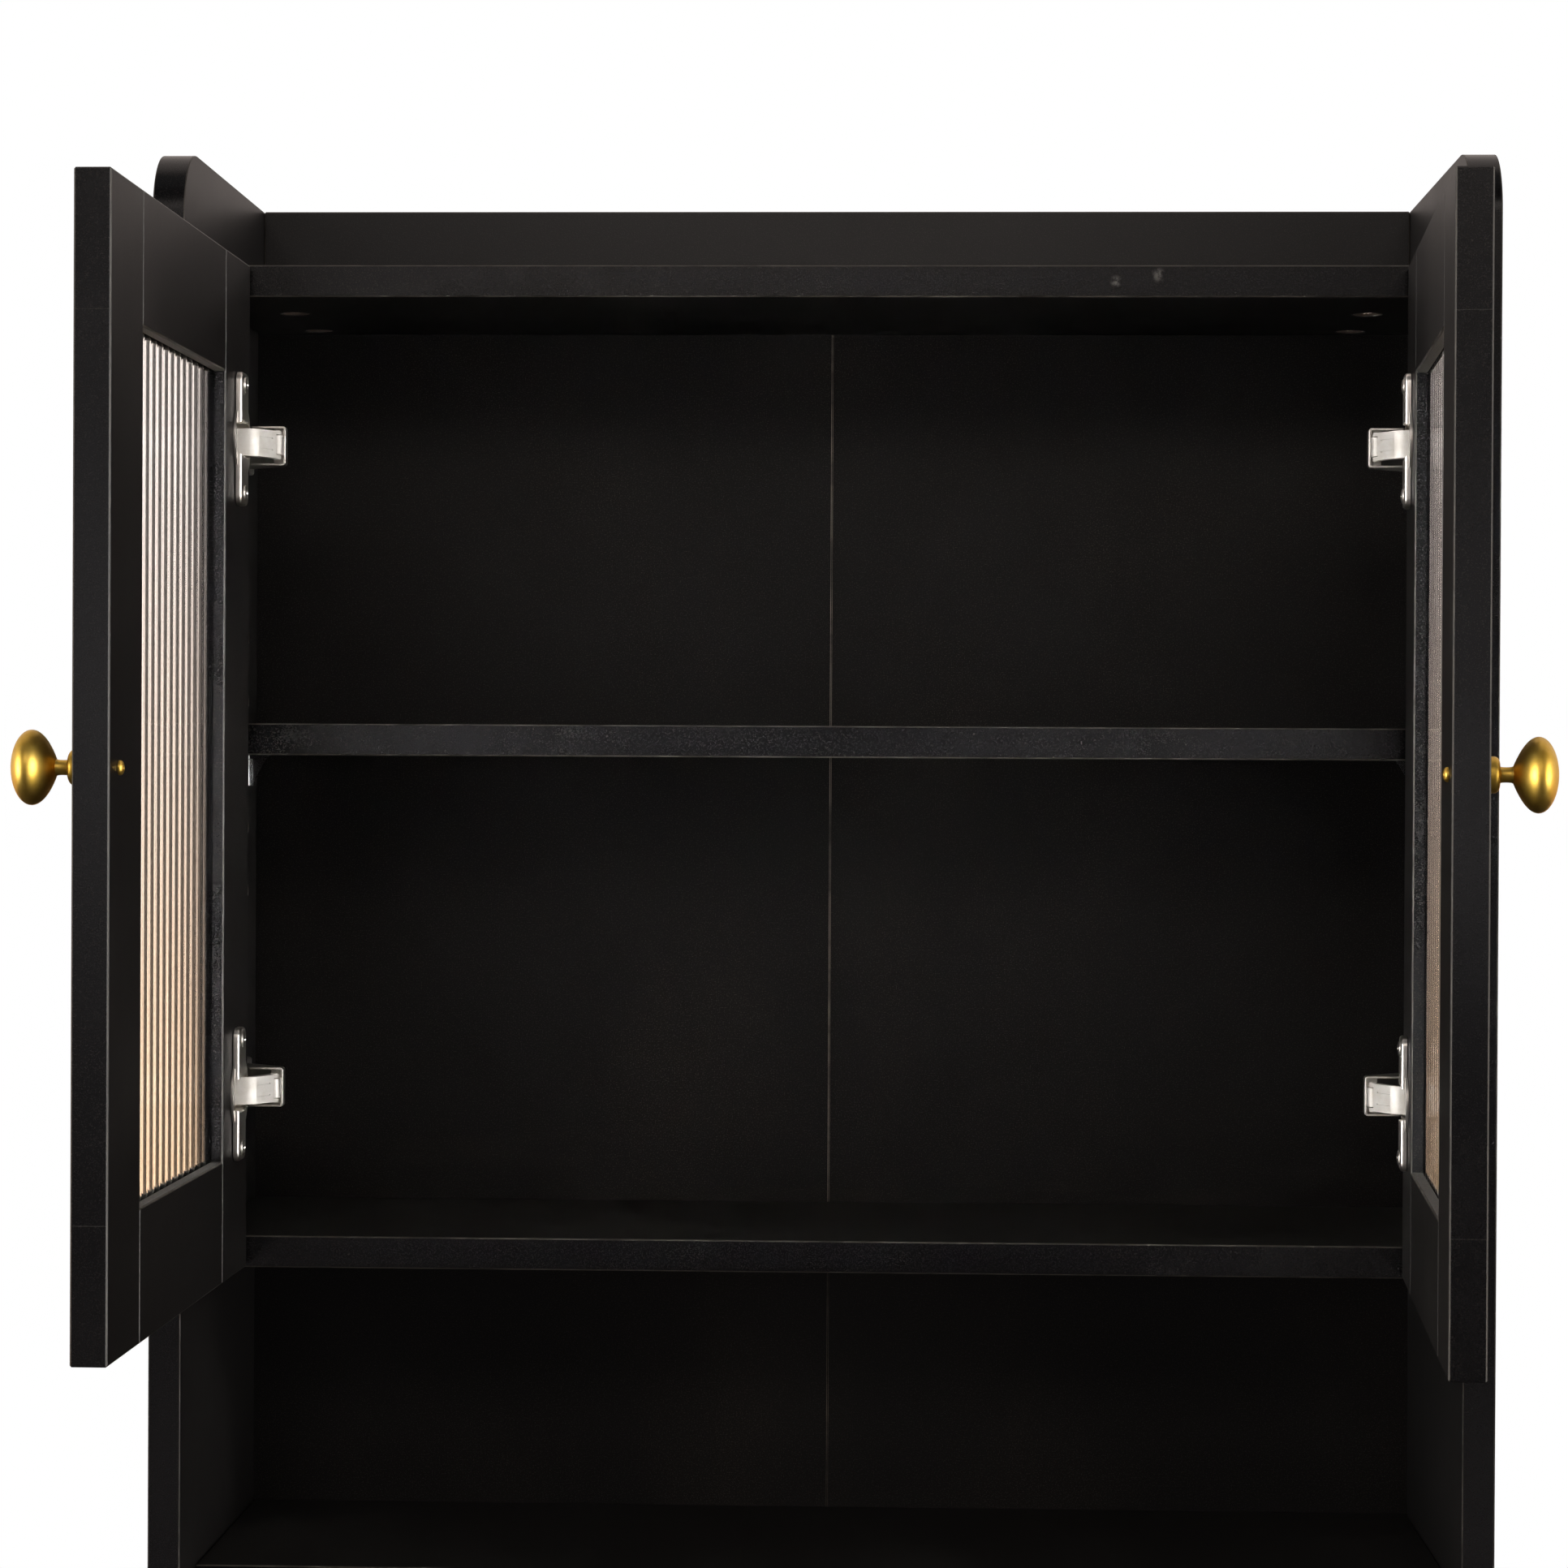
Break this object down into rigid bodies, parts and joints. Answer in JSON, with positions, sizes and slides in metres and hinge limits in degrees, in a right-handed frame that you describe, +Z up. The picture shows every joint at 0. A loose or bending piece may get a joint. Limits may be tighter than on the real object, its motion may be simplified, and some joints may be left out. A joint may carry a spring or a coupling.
{
  "type": "kitchen hutch",
  "caption": "Narrow black kitchen hutch with glazed fluted-glass doors above an open niche, panelled doors below, concealed hinges and round brass knobs.",
  "frame": {"origin": "middle of the plinth's underside, on the floor", "axes": "+X to the right as seen from the front, -Y towards the person who opens the doors, +Z up"},
  "size_m": [0.6239, 0.4796, 1.53],
  "materials": {
    "black_laminate": "satin black laminate on board, with pale worn arrises",
    "back_board": "matt black hardboard",
    "fluted_glass": "clear fluted glass, ribs inside",
    "satin_brass": "satin, lacquered",
    "nickel_steel": "pressed steel, bright nickel plated",
    "clear_plastic": "clear moulded plastic"
  },
  "bodies": {
    "carcass": {"side_left": "black_laminate", "side_right": "black_laminate", "top_board": "black_laminate", "gallery_rail": "black_laminate", "upper_shelf": "black_laminate", "upper_floor": "black_laminate", "niche_floor": "black_laminate", "lower_shelf": "black_laminate", "base_board": "black_laminate", "plinth": "black_laminate", "back_left": "back_board", "back_right": "back_board", "back_batten": "black_laminate", "shelf_peg_left_front": "clear_plastic", "shelf_peg_left_back": "clear_plastic", "shelf_peg_right_front": "clear_plastic", "shelf_peg_right_back": "clear_plastic", "upper_left_top_hinge_arm": "nickel_steel", "upper_left_bottom_hinge_arm": "nickel_steel", "upper_right_top_hinge_arm": "nickel_steel", "upper_right_bottom_hinge_arm": "nickel_steel", "lower_left_top_hinge_arm": "nickel_steel", "lower_left_bottom_hinge_arm": "nickel_steel", "lower_right_top_hinge_arm": "nickel_steel", "lower_right_bottom_hinge_arm": "nickel_steel"},
    "upper_left_links": {"upper_left_top_hinge_link": "nickel_steel", "upper_left_bottom_hinge_link": "nickel_steel"},
    "upper_left_door": {"upper_left_hinge_stile": "black_laminate", "upper_left_free_stile": "black_laminate", "upper_left_top_rail": "black_laminate", "upper_left_bottom_rail": "black_laminate", "upper_left_glass": "fluted_glass", "upper_left_knob": "satin_brass", "upper_left_top_hinge_cup": "nickel_steel", "upper_left_bottom_hinge_cup": "nickel_steel"},
    "upper_right_links": {"upper_right_top_hinge_link": "nickel_steel", "upper_right_bottom_hinge_link": "nickel_steel"},
    "upper_right_door": {"upper_right_hinge_stile": "black_laminate", "upper_right_free_stile": "black_laminate", "upper_right_top_rail": "black_laminate", "upper_right_bottom_rail": "black_laminate", "upper_right_glass": "fluted_glass", "upper_right_knob": "satin_brass", "upper_right_top_hinge_cup": "nickel_steel", "upper_right_bottom_hinge_cup": "nickel_steel"},
    "lower_left_links": {"lower_left_top_hinge_link": "nickel_steel", "lower_left_bottom_hinge_link": "nickel_steel"},
    "lower_left_door": {"lower_left_frame": "black_laminate", "lower_left_panel": "black_laminate", "lower_left_knob": "satin_brass", "lower_left_top_hinge_cup": "nickel_steel", "lower_left_bottom_hinge_cup": "nickel_steel"},
    "lower_right_links": {"lower_right_top_hinge_link": "nickel_steel", "lower_right_bottom_hinge_link": "nickel_steel"},
    "lower_right_door": {"lower_right_frame": "black_laminate", "lower_right_panel": "black_laminate", "lower_right_knob": "satin_brass", "lower_right_top_hinge_cup": "nickel_steel", "lower_right_bottom_hinge_cup": "nickel_steel"}
  },
  "joints": [
    {"name": "upper_left_link", "type": "hinge", "parent": "carcass", "child": "upper_left_links", "pos_m": [-0.258, -0.0247, 1.2435], "axis": [0, 0, 1], "range_deg": [-26.35, 2.85]},
    {"name": "upper_left_door", "type": "hinge", "parent": "upper_left_links", "child": "upper_left_door", "pos_m": [-0.27484, -0.04016, 1.2435], "axis": [0, 0, 1], "range_deg": [-12.52, 116.59]},
    {"name": "upper_right_link", "type": "hinge", "parent": "carcass", "child": "upper_right_links", "pos_m": [0.258, -0.0247, 1.2435], "axis": [0, 0, 1], "range_deg": [-4.1, 25.15]},
    {"name": "upper_right_door", "type": "hinge", "parent": "upper_right_links", "child": "upper_right_door", "pos_m": [0.27517, -0.0398, 1.2435], "axis": [0, 0, 1], "range_deg": [-111.17, 17.94]},
    {"name": "lower_left_link", "type": "hinge", "parent": "carcass", "child": "lower_left_links", "pos_m": [-0.258, -0.0247, 0.468], "axis": [0, 0, 1], "range_deg": [0, 29.2]},
    {"name": "lower_left_door", "type": "hinge", "parent": "lower_left_links", "child": "lower_left_door", "pos_m": [-0.27995, -0.0311, 0.468], "axis": [0, 0, 1], "range_deg": [-129.12, 0]},
    {"name": "lower_right_link", "type": "hinge", "parent": "carcass", "child": "lower_right_links", "pos_m": [0.258, -0.0247, 0.468], "axis": [0, 0, 1], "range_deg": [-29.2, 0]},
    {"name": "lower_right_door", "type": "hinge", "parent": "lower_right_links", "child": "lower_right_door", "pos_m": [0.27995, -0.0311, 0.468], "axis": [0, 0, 1], "range_deg": [0, 129.12]}
  ],
  "couplings": [
    {"joint": "upper_left_link", "follows": "upper_left_door", "ratio": -0.22553},
    {"joint": "upper_right_link", "follows": "upper_right_door", "ratio": -0.22553},
    {"joint": "lower_left_link", "follows": "lower_left_door", "ratio": -0.22553},
    {"joint": "lower_right_link", "follows": "lower_right_door", "ratio": -0.22553}
  ]
}
